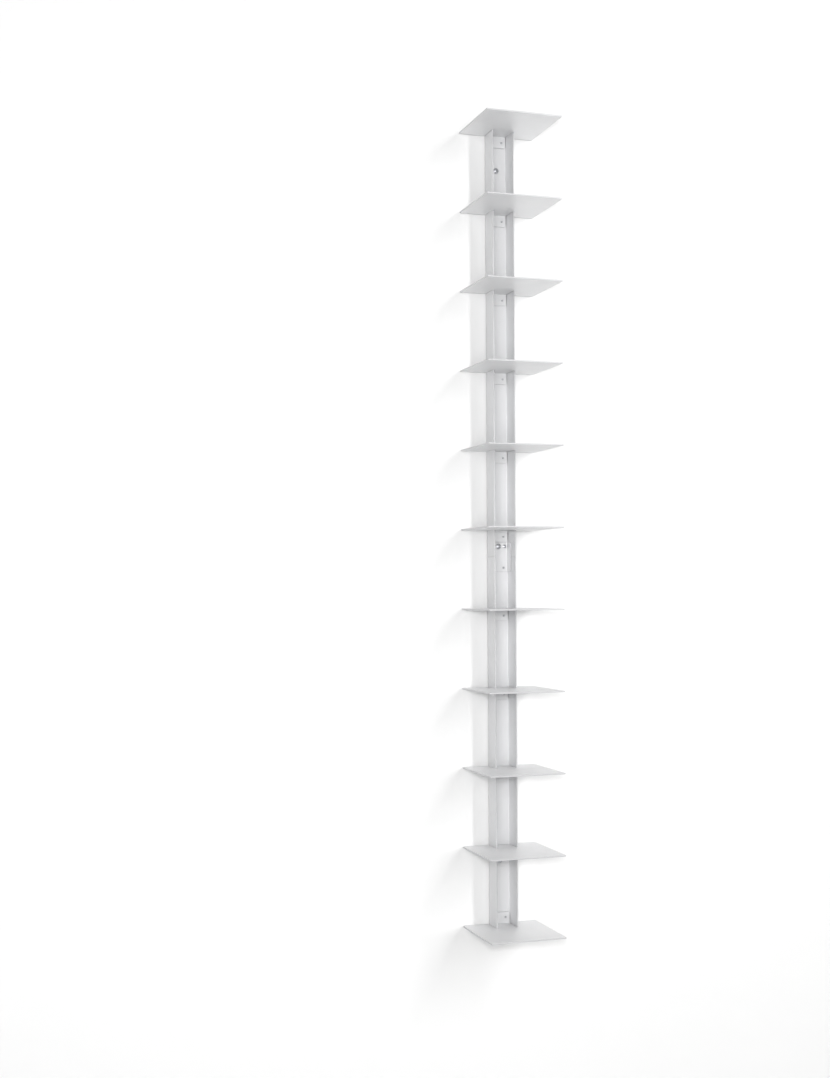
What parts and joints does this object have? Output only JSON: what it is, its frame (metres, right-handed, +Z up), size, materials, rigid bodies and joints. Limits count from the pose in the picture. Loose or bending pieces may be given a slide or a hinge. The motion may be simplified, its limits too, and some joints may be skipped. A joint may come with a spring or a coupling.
{
  "type": "spine bookshelf",
  "caption": "Tall wall-hung spine bookshelf: a steel channel fixed upright to a wall carries thin square plates on which books are stacked flat.",
  "frame": {"origin": "on the back face of the column's web, on its centre line, level with the middle of the sixth plate: the face that bears on the wall", "axes": "+X to the right as seen from the front, +Y into the wall, +Z up along the column"},
  "size_m": [0.172, 0.2187, 1.753],
  "materials": {
    "silver_paint": "satin silver-grey powder coat on folded steel sheet",
    "zinc_steel": "bright zinc plate on screws and washers",
    "plug_nylon": "moulded grey nylon"
  },
  "bodies": {
    "root": {"column_upper": "silver_paint", "column_lower": "silver_paint", "splice_channel": "silver_paint", "shelf_01": "silver_paint", "shelf_02": "silver_paint", "shelf_03": "silver_paint", "shelf_04": "silver_paint", "shelf_05": "silver_paint", "shelf_06": "silver_paint", "shelf_07": "silver_paint", "shelf_08": "silver_paint", "shelf_09": "silver_paint", "shelf_10": "silver_paint", "shelf_11": "silver_paint", "shelf_screw_01_left": "zinc_steel", "shelf_screw_01_right": "zinc_steel", "shelf_screw_02_left": "zinc_steel", "shelf_screw_02_right": "zinc_steel", "shelf_screw_03_left": "zinc_steel", "shelf_screw_03_right": "zinc_steel", "shelf_screw_04_left": "zinc_steel", "shelf_screw_04_right": "zinc_steel", "shelf_screw_05_left": "zinc_steel", "shelf_screw_05_right": "zinc_steel", "shelf_screw_06_left": "zinc_steel", "shelf_screw_06_right": "zinc_steel", "shelf_screw_07_left": "zinc_steel", "shelf_screw_07_right": "zinc_steel", "shelf_screw_08_left": "zinc_steel", "shelf_screw_08_right": "zinc_steel", "shelf_screw_09_left": "zinc_steel", "shelf_screw_09_right": "zinc_steel", "shelf_screw_10_left": "zinc_steel", "shelf_screw_10_right": "zinc_steel", "shelf_screw_11_left": "zinc_steel", "shelf_screw_11_right": "zinc_steel", "splice_screw_upper_left": "zinc_steel", "splice_screw_upper_right": "zinc_steel", "splice_screw_lower_left": "zinc_steel", "splice_screw_lower_right": "zinc_steel", "wall_screw_top": "zinc_steel", "wall_screw_middle": "zinc_steel", "wall_screw_bottom": "zinc_steel", "wall_washer_top": "zinc_steel", "wall_washer_middle": "zinc_steel", "wall_washer_bottom": "zinc_steel", "wall_plug_top": "plug_nylon", "wall_plug_middle": "plug_nylon", "wall_plug_bottom": "plug_nylon"}
  },
  "joints": []
}
